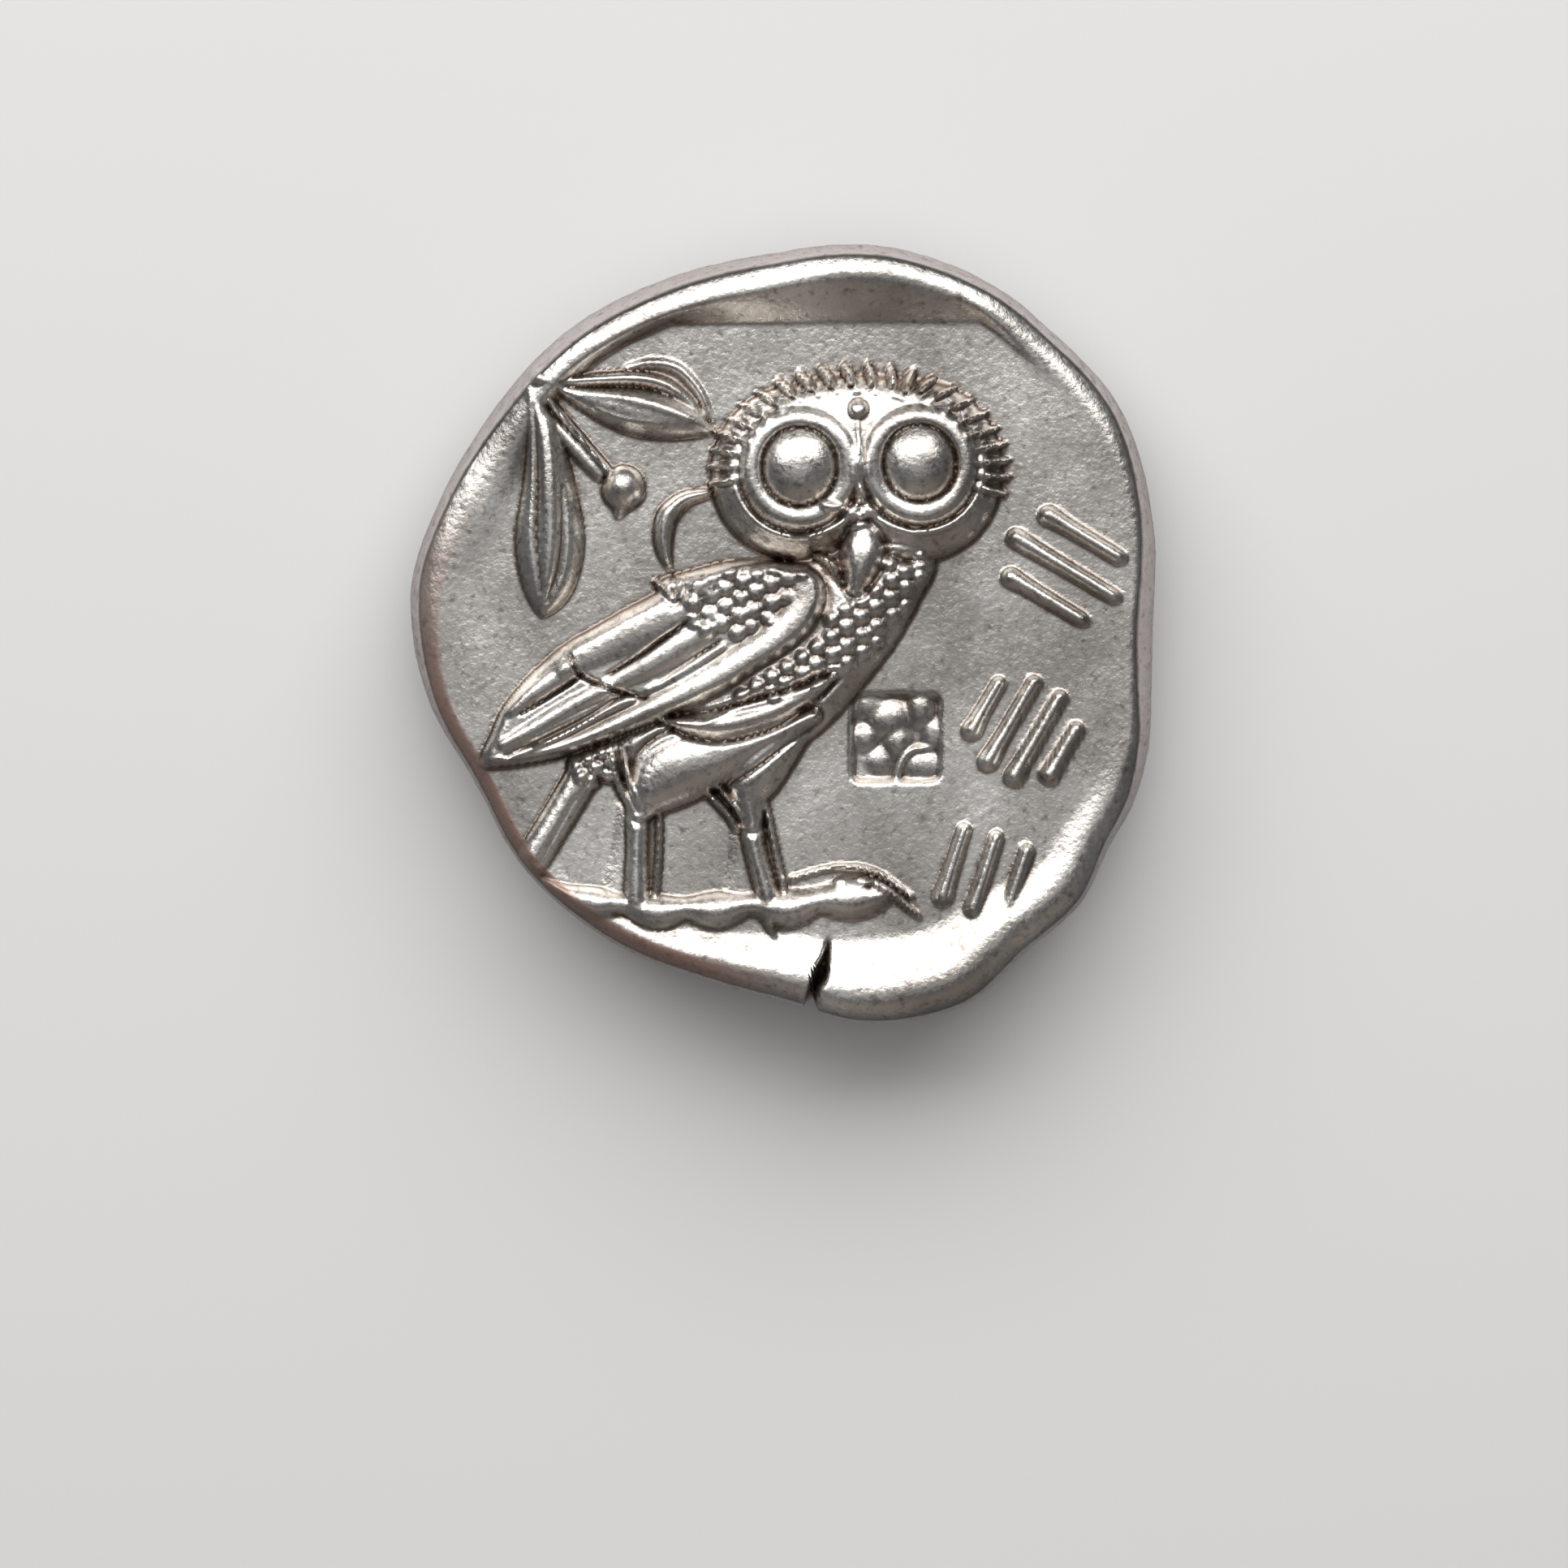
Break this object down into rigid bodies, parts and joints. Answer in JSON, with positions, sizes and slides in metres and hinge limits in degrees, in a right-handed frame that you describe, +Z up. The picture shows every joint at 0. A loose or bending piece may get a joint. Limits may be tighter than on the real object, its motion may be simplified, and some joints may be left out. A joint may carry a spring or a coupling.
{
  "type": "tetradrachm coin",
  "caption": "Ancient Greek silver tetradrachm with an owl and an olive sprig, struck on a thick uneven flan with a cracked edge.",
  "frame": {"origin": "under the middle of the coin's outline, in the plane that it lies on", "axes": "+Z up through the thickness to the owl side, +Y towards the owl's crown, +X towards the punch mark"},
  "size_m": [0.0238, 0.025, 0.0063],
  "materials": {
    "silver": "worn, softly shining silver with brown toning in the hollows"
  },
  "bodies": {
    "root": {"coin": "silver"}
  },
  "joints": []
}
